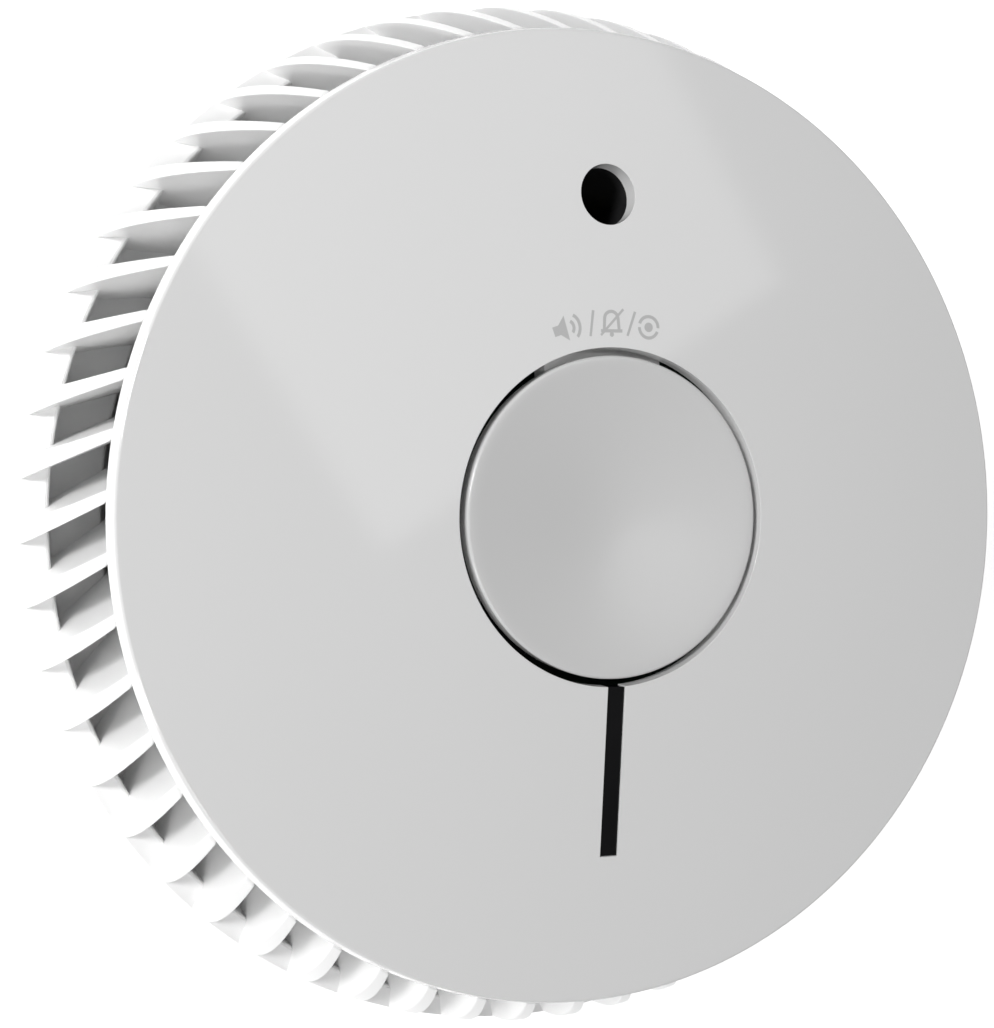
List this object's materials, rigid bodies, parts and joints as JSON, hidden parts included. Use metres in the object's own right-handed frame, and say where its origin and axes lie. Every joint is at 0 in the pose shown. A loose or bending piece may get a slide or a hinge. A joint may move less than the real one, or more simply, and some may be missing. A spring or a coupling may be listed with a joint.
{
  "type": "smoke detector",
  "caption": "Round ceiling smoke alarm: flat front cover with a large central test button, sounder port and status slot, over a flared ring of swirl vanes, on a twist-off mounting plate.",
  "frame": {"origin": "centre of the mounting plate's back face", "axes": "+Z out through the front face, +Y from the button towards the sounder port, the status slot runs down -Y"},
  "size_m": [0.117, 0.117, 0.037],
  "materials": {
    "white_plastic": "satin moulded ABS, white",
    "button_plastic": "satin moulded ABS, white",
    "plate_plastic": "moulded ABS, white",
    "smoked_window": "smoked acrylic, near black",
    "clear_plastic": "clear acrylic light guide",
    "black_plastic": "black moulded plastic, matt",
    "board_laminate": "glass-fibre laminate with green resist",
    "steel": "zinc-plated steel",
    "screen_steel": "etched stainless mesh",
    "brass": "rolled brass",
    "ceramic_white": "silvered ceramic",
    "rubber_black": "soft foam rubber",
    "cell_wrap": "plain shrink sleeve",
    "nickel": "nickel strip",
    "lamp_resin": "clear resin on a white base",
    "emitter_resin": "tinted clear resin",
    "sensor_resin": "black filter resin",
    "chip_black": "moulded epoxy",
    "ferrite": "ferrite",
    "copper": "enamelled copper",
    "capacitor_sleeve": "shrink sleeve",
    "chip_ceramic": "fired ceramic"
  },
  "bodies": {
    "mounting_plate": {"mounting_plate": "plate_plastic"},
    "alarm": {"rear_shell": "white_plastic", "vent_ring": "white_plastic", "front_cover": "white_plastic", "indicator_window": "smoked_window", "light_pipe": "clear_plastic", "status_lamps": "lamp_resin", "circuit_board": "board_laminate", "board_screws": "steel", "case_screws": "steel", "chamber_base": "black_plastic", "chamber_cap": "black_plastic", "insect_screen": "screen_steel", "ir_emitter": "emitter_resin", "light_sensor": "sensor_resin", "sounder_base": "black_plastic", "sounder_horn": "black_plastic", "piezo_disc": "brass", "piezo_ceramic": "ceramic_white", "sounder_gasket": "rubber_black", "sounder_contacts": "nickel", "lithium_cell": "cell_wrap", "cell_tabs": "nickel", "cell_saddle": "black_plastic", "tact_switch_body": "chip_black", "power_switch": "steel", "microcontroller": "chip_black", "boost_inductor": "ferrite", "inductor_winding": "copper", "storage_capacitor": "capacitor_sleeve", "chip_resistors": "chip_black", "chip_capacitors": "chip_ceramic"},
    "test_button": {"test_button": "button_plastic"},
    "tact_plunger": {"tact_plunger": "black_plastic"},
    "power_switch_slide": {"power_switch_slide": "black_plastic"}
  },
  "joints": [
    {"name": "twist", "type": "hinge", "parent": "mounting_plate", "child": "alarm", "pos_m": [0, 0, 0], "axis": [0, 0, 1], "range_deg": [0, 12]},
    {"name": "button_press", "type": "hinge", "parent": "alarm", "child": "test_button", "pos_m": [-0.0014, 0.02055, 0.0333], "axis": [0.9977, 0.068, 0], "range_deg": [0, 1.3], "stiffness_Nm_per_rad": 2, "springref_deg": -0.57},
    {"name": "plunger_travel", "type": "slide", "parent": "alarm", "child": "tact_plunger", "axis": [0, 0, -1], "range_m": [0, 0.0008]},
    {"name": "power_slide", "type": "slide", "parent": "alarm", "child": "power_switch_slide", "axis": [0.7071, -0.7071, 0], "range_m": [0, 0.0052]}
  ],
  "couplings": [
    {"joint": "plunger_travel", "follows": "button_press", "m_per_rad": 0.0326},
    {"joint": "power_slide", "follows": "twist", "m_per_rad": 0.024}
  ]
}
